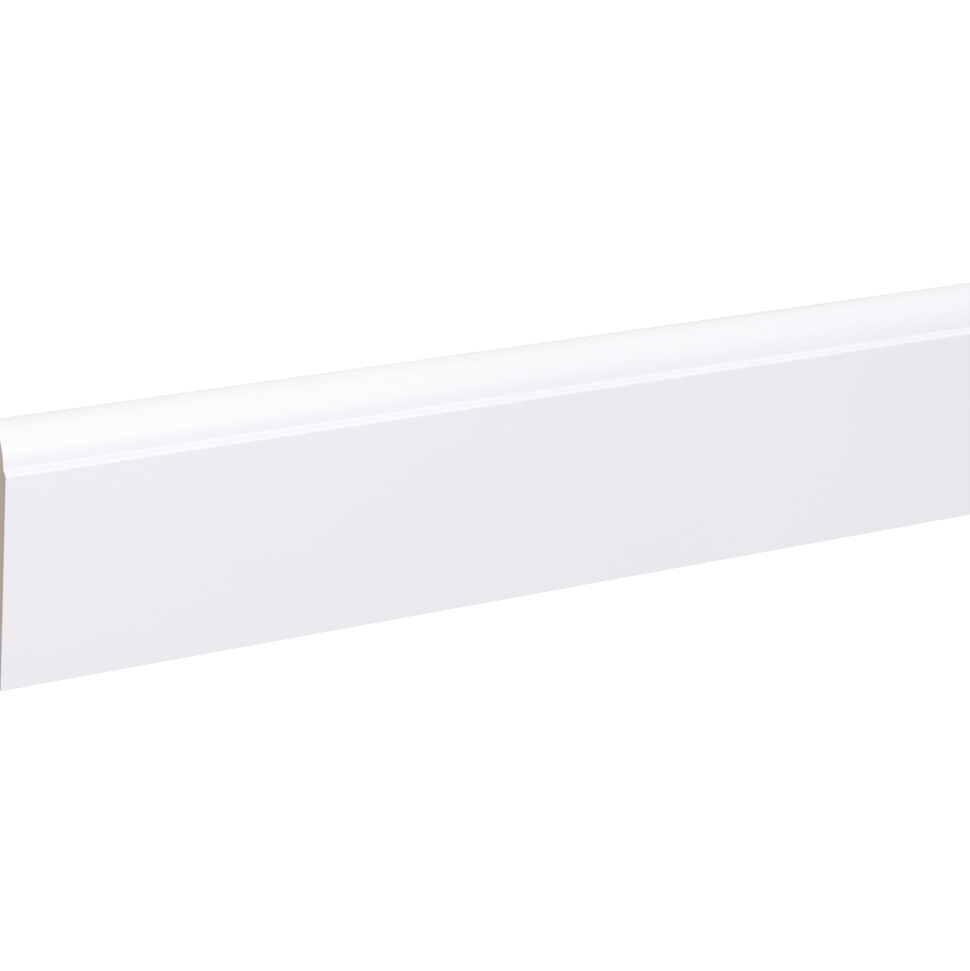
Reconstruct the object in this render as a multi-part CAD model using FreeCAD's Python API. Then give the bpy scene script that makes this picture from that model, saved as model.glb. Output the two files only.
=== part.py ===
import FreeCAD, Part
import math
import os

# Skirting board length: one straight piece of moulded board, white in front and raw behind.
# It lies on its back. X runs along the length, +Y points to the moulded top edge, and +Z out of the face.
# All sizes are in millimetres. The origin is the middle of the back face.

LENGTH = 2400.0
HEIGHT = 95.0
THICKNESS = 15.0

# The moulding, from the face backwards (depths) and from the top edge downwards (heights)
LEDGE_DEPTH = 2.6
LEDGE_RISE = 0.4
BAND_LEAN = 0.9
BAND_HEIGHT = 4.8
SLOPE_DEPTH = 5.4
SLOPE_HEIGHT = 5.3

# The roundings of the section's corners
FACE_FOOT_RADIUS = 0.4
BACK_FOOT_RADIUS = 0.4
LEDGE_RADIUS = 0.8
LEDGE_FILLET = 0.8
SHOULDER_RADIUS = 10.5
TOP_FRONT_RADIUS = 0.6
TOP_BACK_RADIUS = 1.5


def section_corners():
    """The section's corners as (depth behind the face, height above the foot, rounding), anticlockwise."""
    shoulder_height = HEIGHT - SLOPE_HEIGHT
    ledge_height = shoulder_height - BAND_HEIGHT
    shoulder_depth = LEDGE_DEPTH + BAND_LEAN
    return [
        (0.0, 0.0, FACE_FOOT_RADIUS),
        (0.0, ledge_height - LEDGE_RISE, LEDGE_RADIUS),
        (LEDGE_DEPTH, ledge_height, LEDGE_FILLET),
        (shoulder_depth, shoulder_height, SHOULDER_RADIUS),
        (shoulder_depth + SLOPE_DEPTH, HEIGHT, TOP_FRONT_RADIUS),
        (THICKNESS, HEIGHT, TOP_BACK_RADIUS),
        (THICKNESS, 0.0, BACK_FOOT_RADIUS),
    ]


def place(depth, height):
    """A point of the section in the part's frame, at the left end of the board."""
    return FreeCAD.Vector(-LENGTH / 2, height - HEIGHT / 2, THICKNESS - depth)


def setbacks(points, radii):
    """How far each rounding reaches along its two sides, kept within the sides' lengths."""
    count = len(points)
    reach = []
    for i in range(count):
        before = points[i - 1] - points[i]
        after = points[(i + 1) % count] - points[i]
        reach.append(radii[i] / math.tan(before.getAngle(after) / 2))
    share = [1.0] * count
    for i in range(count):
        j = (i + 1) % count
        side = (points[j] - points[i]).Length
        room = min(1.0, side / (reach[i] + reach[j]))
        share[i] = min(share[i], room)
        share[j] = min(share[j], room)
    return [r * s for r, s in zip(reach, share)]


def rounded_section(corners):
    """A face whose outline is straight between the corners and a true arc at each of them."""
    points = [place(depth, height) for depth, height, radius in corners]
    reach = setbacks(points, [radius for depth, height, radius in corners])
    count = len(points)
    edges = []
    starts = []
    ends = []
    for i in range(count):
        before = (points[i - 1] - points[i]).normalize()
        after = (points[(i + 1) % count] - points[i]).normalize()
        half_angle = before.getAngle(after) / 2
        bisector = (before + after).normalize()
        start = points[i] + before * reach[i]
        end = points[i] + after * reach[i]
        to_centre = reach[i] / math.cos(half_angle)
        radius = reach[i] * math.tan(half_angle)
        middle = points[i] + bisector * (to_centre - radius)
        edges.append(Part.Arc(start, middle, end).toShape())
        starts.append(start)
        ends.append(end)
    for i in range(count):
        next_start = starts[(i + 1) % count]
        if (next_start - ends[i]).Length > Part.Precision.confusion():
            edges.append(Part.LineSegment(ends[i], next_start).toShape())
    return Part.Face(Part.Wire(Part.__sortEdges__(edges)))


def skirting_board():
    """The moulded section carried along the whole length, with both ends sawn square."""
    board = rounded_section(section_corners()).extrude(FreeCAD.Vector(LENGTH, 0, 0))
    return Part.Solid(board)


os.makedirs("parts", exist_ok=True)
board = skirting_board()
board.exportStep("parts/skirting_board.step")
print("skirting_board", board.isValid(), round(board.Volume / 1000), "cm3", board.BoundBox)
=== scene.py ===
"""The skirting board length: its white coat, its bare fibreboard, and the light it is seen in."""

import bpy
import numpy as np
from mathutils import Matrix, Vector


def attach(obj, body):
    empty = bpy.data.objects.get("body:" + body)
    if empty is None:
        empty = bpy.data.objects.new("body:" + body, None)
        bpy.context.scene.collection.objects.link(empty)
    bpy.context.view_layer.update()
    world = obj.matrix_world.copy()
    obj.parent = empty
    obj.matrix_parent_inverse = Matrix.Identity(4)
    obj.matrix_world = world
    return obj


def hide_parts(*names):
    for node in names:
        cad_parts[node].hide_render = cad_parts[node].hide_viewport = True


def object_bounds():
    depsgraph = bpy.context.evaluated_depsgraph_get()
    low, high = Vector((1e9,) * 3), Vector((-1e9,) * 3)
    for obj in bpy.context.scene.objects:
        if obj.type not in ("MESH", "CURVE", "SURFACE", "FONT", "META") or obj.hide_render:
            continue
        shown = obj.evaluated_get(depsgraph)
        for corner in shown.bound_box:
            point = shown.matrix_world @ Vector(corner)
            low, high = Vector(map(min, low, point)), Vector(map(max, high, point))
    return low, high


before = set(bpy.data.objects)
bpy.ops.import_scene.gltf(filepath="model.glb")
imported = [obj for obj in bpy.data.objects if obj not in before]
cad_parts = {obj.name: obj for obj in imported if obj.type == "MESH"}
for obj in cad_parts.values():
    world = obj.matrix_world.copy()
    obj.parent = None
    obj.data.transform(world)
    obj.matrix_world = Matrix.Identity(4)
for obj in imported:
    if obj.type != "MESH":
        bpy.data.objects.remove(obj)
cad_low, cad_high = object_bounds()

MM = 0.001

# The moulding's depths and heights, from the ledge up to the slope
LEDGE_DEPTH = 2.6 * MM
LEDGE_RISE = 0.4 * MM
BAND_LEAN = 0.9 * MM
BAND_HEIGHT = 4.8 * MM
SLOPE_DEPTH = 5.4 * MM
SLOPE_HEIGHT = 5.3 * MM

# The radii of the section's corners
FACE_FOOT_RADIUS = 0.4 * MM
BACK_FOOT_RADIUS = 0.4 * MM
LEDGE_RADIUS = 0.8 * MM
LEDGE_FILLET = 0.8 * MM
SHOULDER_RADIUS = 10.5 * MM
TOP_FRONT_RADIUS = 0.6 * MM
TOP_BACK_RADIUS = 1.5 * MM

# The mesh: faces in each rounding and along the board, and narrow strips that keep the sides' shading flat
ARC_STEPS = 14
LENGTH_STEPS = 48
FLAT_STRIP = 0.2 * MM

# An arc has one point more than steps, and each corner has a strip's point on both sides of its arc
POINTS_PER_CORNER = ARC_STEPS + 3

# The sawn ends: the coat's thickness, the arris that the saw leaves, and the steps from coat to middle
COAT_THICKNESS = 0.2 * MM
END_BREAK = 0.1 * MM
END_STEPS = 6

# Heights above the back face where a painted shade starts, where it is full, and where the coat stops in a
# wavy, soft line
PAINTED_SHADE_START = 3.2 * MM
PAINTED_SHADE_FULL = 0.8 * MM
COAT_STOP = 0.3 * MM
COAT_STOP_WAVE = 0.1 * MM
COAT_STOP_BLUR = 0.05 * MM

# The coat's white, the greyer white of the painted shade towards the back edges, its darkest patches'
# shade, and the least share of that painted shade
COAT_WHITE = (0.862, 0.850, 0.881)
PAINTED_SHADE_WHITE = (0.755, 0.740, 0.763)
PATCH_SHADE = 0.985
LEAST_PAINTED_SHADE = 0.35

# The coat's gloss, and how high its peel is
COAT_ROUGHNESS = 0.36
COAT_ROUGHNESS_SPREAD = 0.02
COAT_IOR = 1.5
PEEL_HEIGHT = 0.01 * MM

# The bare board's colours and gloss, and how high its fibres stand
BOARD_PALE = (0.64, 0.52, 0.45)
BOARD_DARK = (0.40, 0.31, 0.255)
BOARD_ROUGHNESS = 0.9
BOARD_IOR = 1.45
FIBRE_HEIGHT = 0.06 * MM

# What the strands, the flecks and the clouds of the fibre give to its tone, and the first two to its height
STRAND_TONE = 0.55
FLECK_TONE = 0.3
CLOUD_TONE = 0.15
STRAND_RELIEF = 0.6
FLECK_RELIEF = 0.4

# Fibreboard is denser within this depth of its two faces, and darker by this much of its tone
DENSE_DEPTH = 2.5 * MM
DENSE_TONE = 0.3

# The camera at the photograph's viewing angle: its lens in pixels, its place, its aim and the picture's up
PICTURE_LONG_SIDE = 971
SENSOR = 36.0
LENS_PIXELS = 2550
CAMERA_PLACE = (-1.36048, 0.50079, 0.57893)
CAMERA_AIM = (0.38886, -0.60879, -0.69149)
PICTURE_UP = (0.14787, 0.78208, -0.60538)

# The room's own light, faintly violet, and the white that the camera sees instead
ROOM_LIGHT = 0.597
ROOM_TINT = (1.03, 1.0, 1.08)
WHITE = (1.0, 1.0, 1.0)

# Soft, faintly yellow lamps as (name, place, aim, width, height, watts)
LAMP_TINT = (0.96, 1.0, 0.90)
LAMPS = [
    ("strip_left", (-1.2, 1.6, 0.35), (-1.1, 0.0, 0.0), 1.2, 0.45, 3.6),
    ("strip_middle", (0.0, 1.6, 0.35), (0.0, 0.0, 0.0), 1.2, 0.45, 4.5),
    ("strip_right", (1.2, 1.6, 0.35), (1.1, 0.0, 0.0), 1.2, 0.45, 4.5),
    ("fill_left", (-1.5, -0.4, 0.8), (-1.1, 0.0, 0.0), 0.8, 0.8, 1.2),
    ("fill_middle", (0.1, -0.3, 0.9), (0.1, 0.0, 0.0), 0.8, 0.8, 0.6),
    ("fill_right", (0.9, -0.3, 0.9), (0.9, 0.0, 0.0), 0.8, 0.8, 0.8),
    ("foot_middle", (0.0, -1.2, 0.6), (0.0, 0.0, 0.0), 1.0, 1.0, 1.0),
    ("foot_right", (1.1, -1.2, 0.6), (1.0, 0.0, 0.0), 1.0, 1.0, 1.1),
    ("fill_near", (-1.25, 0.35, 0.7), (-1.15, 0.0, 0.0), 0.3, 0.3, 1.3),
    ("highlight", (-0.88, 0.46, 0.82), (-1.14, 0.04, 0.0), 0.2, 0.2, 0.42),
]

# The floor: its width, its drop below the board, its own white, and the glow that makes it the backdrop
FLOOR_WIDTH = 40.0
FLOOR_DROP = 0.02 * MM
FLOOR_WHITE = (0.9, 0.9, 0.9)
FLOOR_GLOW = 1.2
FLOOR_GLOW_SHARE = 0.7


class Sock:
    """A value inside a material: Python's operators on it add the Math nodes."""

    def __init__(self, nodes, link):
        self.nodes = nodes
        self.link = link

    def _maths(self, operation, *values):
        return self.nodes.node("ShaderNodeMath", dict(operation=operation), *values)

    def __add__(self, other):
        return self._maths("ADD", self, other)

    def __sub__(self, other):
        return self._maths("SUBTRACT", self, other)

    def __rsub__(self, other):
        return self._maths("SUBTRACT", other, self)

    def __mul__(self, other):
        return self._maths("MULTIPLY", self, other)

    __radd__ = __add__
    __rmul__ = __mul__


class Nodes:
    """The node tree of a material or of the room. node() adds any node and returns one of its outputs."""

    def __init__(self, owner):
        owner.use_nodes = True
        self.owner = owner
        self.tree = owner.node_tree
        self.tree.nodes.clear()

    def node(self, kind, settings, *values, out=0, **named):
        """Adds a node: its settings first, then its inputs in order, then its inputs by name."""
        made = self.tree.nodes.new(kind)
        for key, setting in settings.items():
            setattr(made, key, setting)
        by_name = ((key.replace("_", " "), value) for key, value in named.items())
        for key, value in [*enumerate(values), *by_name]:
            if isinstance(value, Sock):
                self.tree.links.new(value.link, made.inputs[key])
            elif value is not None:
                made.inputs[key].default_value = value
        return Sock(self, made.outputs[out])

    def place(self, squeeze=(1.0, 1.0, 1.0)):
        """Object coordinates in metres, each axis multiplied by its squeeze."""
        spot = self.node("ShaderNodeTexCoord", {}, out="Object")
        return self.node("ShaderNodeMapping", {}, spot, Scale=squeeze)

    def height(self):
        """How far the spot is above the board's back face, in metres."""
        return self.node("ShaderNodeSeparateXYZ", {}, self.place(), out="Z")

    def noise(self, spot, scale, detail, roughness):
        """Smooth noise from 0 to 1, with this many lumps to a metre."""
        return self.node("ShaderNodeTexNoise", {}, spot, Scale=scale, Detail=detail, Roughness=roughness)

    def between(self, value, low, high):
        """The value stretched so that low gives 0 and high gives 1, and held there."""
        return self.node("ShaderNodeMapRange", {}, value, low, high, 0.0, 1.0)

    def mix(self, share, first, second):
        """Two colours mixed: a share of 0 gives the first."""
        # The node has five inputs for numbers and vectors between its share and its two colours
        skipped = (None,) * 5
        return self.node("ShaderNodeMix", dict(data_type="RGBA"), share, *skipped, first, second, out=2)

    def bump(self, relief, height):
        """A normal from a relief that runs from 0 to 1, for this height in metres."""
        return self.node("ShaderNodeBump", {}, Strength=1.0, Distance=height, Height=relief)

    def seen(self):
        """1 for rays from the camera and for those that reflect or pass on to it, else 0."""
        kinds = ("Is Camera Ray", "Is Glossy Ray", "Is Transmission Ray")
        direct, reflected, passed = [self.node("ShaderNodeLightPath", {}, out=kind) for kind in kinds]
        return self.node("ShaderNodeClamp", {}, direct + reflected + passed)

    def finish(self, shader, kind="ShaderNodeOutputMaterial"):
        """Links the shader to the output, and returns the material or the room's light."""
        output = self.tree.nodes.new(kind)
        self.tree.links.new(shader.link, output.inputs["Surface"])
        return self.owner


def opaque(colour):
    """The colour with its fourth value, as nodes ask for it."""
    return (*colour, 1.0)


def fibre(m):
    """Pressed tan fibre: its colour, and its relief from 0 to 1."""
    strands = m.noise(m.place(), scale=1500.0, detail=6.0, roughness=0.7)
    flecks = m.noise(m.place((1.0, 0.5, 1.6)), scale=3800.0, detail=2.0, roughness=0.6)
    clouds = m.noise(m.place(), scale=60.0, detail=3.0, roughness=0.5)
    height = m.height()
    front = m.between(height, low=cad_high.z - DENSE_DEPTH, high=cad_high.z)
    back = m.between(height, low=cad_low.z + DENSE_DEPTH, high=cad_low.z)
    strand_tone = STRAND_TONE * m.between(strands, low=0.3, high=0.7)
    fleck_tone = FLECK_TONE * m.between(flecks, low=0.25, high=0.75)
    tone = strand_tone + fleck_tone + CLOUD_TONE * clouds - DENSE_TONE * (front + back)
    colour = m.mix(tone, opaque(BOARD_DARK), opaque(BOARD_PALE))
    return colour, strands * STRAND_RELIEF + flecks * FLECK_RELIEF


def white_coat():
    """The satin white coat: smooth, with a faint peel along the board and hardly any change in its white.

    Towards the back edges a painted shade makes it greyer, stronger in streaks along the board; then the
    coat stops, and bare fibre shows.
    """
    m = Nodes(bpy.data.materials.new("white_coat"))
    height = m.height()
    along = m.place((1.0, 0.0, 0.0))
    patches = m.noise(m.place(), scale=9.0, detail=3.0, roughness=0.5)
    shade = tuple(part * PATCH_SHADE for part in COAT_WHITE)
    coat = m.mix(m.between(patches, low=0.35, high=0.65), opaque(COAT_WHITE), opaque(shade))

    # Painted shade: the white turns greyer towards the back edges, more strongly in streaks along the board
    painted_shade_ramp = m.between(height, low=PAINTED_SHADE_START, high=PAINTED_SHADE_FULL)
    painted_shade_streaks = m.between(m.noise(along, scale=5.0, detail=2.0, roughness=0.5), low=0.25, high=0.65)
    painted_shade = painted_shade_ramp * (LEAST_PAINTED_SHADE + (1 - LEAST_PAINTED_SHADE) * painted_shade_streaks)
    painted_shade_coat = m.mix(painted_shade, coat, opaque(PAINTED_SHADE_WHITE))

    wave = m.noise(along, scale=140.0, detail=3.0, roughness=0.6)
    stop = COAT_STOP + COAT_STOP_WAVE * (wave * 2.0 - 1.0)
    bare = m.between(stop - height, low=-COAT_STOP_BLUR, high=COAT_STOP_BLUR)
    fibre_colour, _ = fibre(m)
    colour = m.mix(bare, painted_shade_coat, fibre_colour)

    peel = m.noise(m.place((0.35, 1.0, 1.0)), scale=420.0, detail=3.0, roughness=0.55)
    peel_rough = 2 * COAT_ROUGHNESS_SPREAD * m.between(peel, low=0.3, high=0.7)
    coat_rough = COAT_ROUGHNESS - COAT_ROUGHNESS_SPREAD + peel_rough
    rough = coat_rough + bare * (BOARD_ROUGHNESS - coat_rough)
    normal = m.bump(peel, PEEL_HEIGHT)
    look = dict(Base_Color=colour, Roughness=rough, Normal=normal, IOR=COAT_IOR)
    return m.finish(m.node("ShaderNodeBsdfPrincipled", {}, **look))


def raw_fibreboard():
    """Bare fibreboard, of the back and the sawn ends."""
    m = Nodes(bpy.data.materials.new("raw_fibreboard"))
    colour, relief = fibre(m)
    normal = m.bump(relief, FIBRE_HEIGHT)
    look = dict(Base_Color=colour, Roughness=BOARD_ROUGHNESS, Normal=normal, IOR=BOARD_IOR)
    return m.finish(m.node("ShaderNodeBsdfPrincipled", {}, **look))


def section_corners():
    """The section's corners as rows of (depth behind the face, height above the foot), and their radii."""
    height = cad_high.y - cad_low.y
    thickness = cad_high.z - cad_low.z
    shoulder_height = height - SLOPE_HEIGHT
    ledge_height = shoulder_height - BAND_HEIGHT
    shoulder_depth = LEDGE_DEPTH + BAND_LEAN
    corners = [
        (0.0, 0.0, FACE_FOOT_RADIUS),
        (0.0, ledge_height - LEDGE_RISE, LEDGE_RADIUS),
        (LEDGE_DEPTH, ledge_height, LEDGE_FILLET),
        (shoulder_depth, shoulder_height, SHOULDER_RADIUS),
        (shoulder_depth + SLOPE_DEPTH, height, TOP_FRONT_RADIUS),
        (thickness, height, TOP_BACK_RADIUS),
        (thickness, 0.0, BACK_FOOT_RADIUS),
    ]
    table = np.array(corners)
    return table[:, :2], table[:, 2]


def section_outline():
    """The rounded section as a ring of points with their outward normals, both as (depth, height).

    Each corner becomes an arc: with a and b the vectors from the arc's centre to its two ends and f the
    angle between them, a point at share t is centre + (a sin((1 - t) f) + b sin(t f)) / sin f. A point on
    each of the straight sides, just past the arc, keeps the shading of the sides flat.
    """
    corners, radii = section_corners()
    before = np.roll(corners, 1, axis=0) - corners
    after = np.roll(corners, -1, axis=0) - corners
    before /= np.linalg.norm(before, axis=1, keepdims=True)
    after /= np.linalg.norm(after, axis=1, keepdims=True)
    half = np.arccos(np.sum(before * after, axis=1)) / 2
    reach = (radii / np.tan(half))[:, None]
    bisector = before + after
    bisector /= np.linalg.norm(bisector, axis=1, keepdims=True)
    centre = corners + bisector * (radii / np.sin(half))[:, None]
    start = corners + before * reach
    end = corners + after * reach
    turn = (np.pi - 2 * half)[:, None, None]
    share = np.linspace(0.0, 1.0, ARC_STEPS + 1)[None, :, None]
    a = (start - centre)[:, None, :]
    b = (end - centre)[:, None, :]
    spokes = (a * np.sin((1 - share) * turn) + b * np.sin(share * turn)) / np.sin(turn)
    arcs = centre[:, None, :] + spokes
    first = (start + before * FLAT_STRIP)[:, None, :]
    last = (end + after * FLAT_STRIP)[:, None, :]
    # The spokes point outwards, but inwards at a hollow corner, which bends against the first corner
    bend = before[:, 0] * after[:, 1] - before[:, 1] * after[:, 0]
    outward = np.where(bend * bend[0] > 0, 1.0, -1.0)[:, None, None]
    normals = spokes / np.linalg.norm(spokes, axis=2, keepdims=True) * outward
    normals = np.concatenate([normals[:, :1], normals, normals[:, -1:]], axis=1)
    points = np.concatenate([first, arcs, last], axis=1)
    return points.reshape(-1, 2), normals.reshape(-1, 2)


def rings_to_mesh(name, rings, materials, slot_of_face):
    """A closed mesh from rings of as many points each, (count, points, 3), and a pole point at each end."""
    count, around = rings.shape[:2]
    poles = np.stack([rings[0].mean(axis=0), rings[-1].mean(axis=0)])
    vertices = np.concatenate([rings.reshape(-1, 3), poles])
    ring = np.arange(count - 1)[:, None]
    here = np.arange(around)[None, :]
    there = (here + 1) % around
    low_edge = [ring * around + here, ring * around + there]
    high_edge = [corner + around for corner in low_edge[::-1]]
    quads = np.stack(low_edge + high_edge, axis=2)
    low_pole = np.full(around, count * around)
    high_pole = low_pole + 1
    last_ring = (count - 1) * around
    low_cap = np.stack([low_pole, there[0], here[0]], axis=1)
    high_cap = np.stack([high_pole, last_ring + here[0], last_ring + there[0]], axis=1)
    faces = quads.reshape(-1, 4).tolist() + low_cap.tolist() + high_cap.tolist()
    mesh = bpy.data.meshes.new(name)
    mesh.from_pydata(vertices.tolist(), [], faces)
    for material in materials:
        mesh.materials.append(material)
    mesh.polygons.foreach_set("material_index", slot_of_face)
    mesh.polygons.foreach_set("use_smooth", np.ones(len(faces), bool))
    mesh.update()
    made = bpy.data.objects.new(name, mesh)
    bpy.context.scene.collection.objects.link(made)
    return made


def board():
    """The board: its section carried along the length, and rings that close in on the middle of each end.

    A point at place x along the board, on the section's point (d, h), is (x, lowest y + h, highest z - d).
    """
    section, normals = section_outline()
    arris = section - normals * END_BREAK
    coat_line = section - normals * COAT_THICKNESS
    middle = np.array([(cad_high.z - cad_low.z) / 2, (cad_high.y - cad_low.y) / 2])
    shares = np.linspace(0.0, 1.0, END_STEPS + 1)[1:-1]
    closing = [coat_line + (middle - coat_line) * share for share in shares]
    end_rings = [*closing[::-1], coat_line, arris]
    first = cad_low.x + END_BREAK
    last = cad_high.x - END_BREAK
    along = [first, *np.linspace(first + FLAT_STRIP, last - FLAT_STRIP, LENGTH_STEPS + 1), last]
    loops = [*end_rings, *([section] * len(along)), *end_rings[::-1]]
    places = [*([cad_low.x] * len(end_rings)), *along, *([cad_high.x] * len(end_rings))]
    rings = np.stack([
        np.column_stack([np.full(len(loop), x), cad_low.y + loop[:, 1], cad_high.z - loop[:, 0]])
        for loop, x in zip(loops, places)
    ])

    # The coat covers every side but the back, which lies between the last two corners
    around = len(section)
    bare_side = np.zeros(around, bool)
    bare_side[around - POINTS_PER_CORNER - 1] = True
    # At both ends the coat reaches round the arris to its own thickness inside the cut
    coat_ring = len(closing)
    bare = np.ones((len(rings) - 1, around), bool)
    bare[coat_ring:len(rings) - 1 - coat_ring] = bare_side
    caps = np.ones(2 * around, bool)
    slot_of_face = np.concatenate([bare.ravel(), caps]).astype(np.int32)

    made = rings_to_mesh("board", rings, [white_coat(), raw_fibreboard()], slot_of_face)
    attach(made, "root")
    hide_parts("skirting_board")


def floor():
    """A wide white floor under the board. It glows for the camera, and it reflects light onto the board."""
    m = Nodes(bpy.data.materials.new("floor"))
    plain = m.node("ShaderNodeBsdfDiffuse", {}, opaque(FLOOR_WHITE))
    glow = m.node("ShaderNodeEmission", {}, Strength=FLOOR_GLOW)
    white = m.finish(m.node("ShaderNodeMixShader", {}, m.seen() * FLOOR_GLOW_SHARE, plain, glow))
    half = FLOOR_WIDTH / 2
    level = cad_low.z - FLOOR_DROP
    corners = [(-half, -half, level), (half, -half, level), (half, half, level), (-half, half, level)]
    mesh = bpy.data.meshes.new("floor")
    mesh.from_pydata(corners, [], [(0, 1, 2, 3)])
    mesh.materials.append(white)
    made = bpy.data.objects.new("floor", mesh)
    bpy.context.scene.collection.objects.link(made)


def room():
    """The room's even light, white wherever the camera sees it."""
    world = bpy.data.worlds.new("room")
    bpy.context.scene.world = world
    m = Nodes(world)
    seen = m.seen()
    colour = m.mix(seen, opaque(ROOM_TINT), opaque(WHITE))
    strength = ROOM_LIGHT + (1 - ROOM_LIGHT) * seen
    m.finish(m.node("ShaderNodeBackground", {}, colour, strength), "ShaderNodeOutputWorld")


def lamp(name, place, aim, width, height, watts):
    """A soft lamp that faces its aim, and that the camera doesn't see."""
    light = bpy.data.lights.new(name, "AREA")
    light.shape = "RECTANGLE"
    light.size = width
    light.size_y = height
    light.color = LAMP_TINT
    light.energy = watts
    made = bpy.data.objects.new(name, light)
    made.location = place
    made.rotation_euler = (Vector(aim) - Vector(place)).to_track_quat("-Z", "Y").to_euler()
    made.visible_camera = False
    bpy.context.scene.collection.objects.link(made)


def camera():
    """The camera at the photograph's viewing angle, with the moulded edge at the top of the picture."""
    back = -Vector(CAMERA_AIM).normalized()
    right = Vector(PICTURE_UP).cross(back).normalized()
    up = back.cross(right)
    turned = Matrix((right, up, back)).transposed().to_4x4()
    data = bpy.data.cameras.new("camera")
    data.sensor_width = SENSOR
    data.lens = LENS_PIXELS * SENSOR / PICTURE_LONG_SIDE
    made = bpy.data.objects.new("camera", data)
    made.matrix_world = Matrix.Translation(CAMERA_PLACE) @ turned
    bpy.context.scene.collection.objects.link(made)
    bpy.context.scene.camera = made


board()
floor()
room()
for settings in LAMPS:
    lamp(*settings)
camera()
bpy.context.scene.view_settings.view_transform = "Standard"
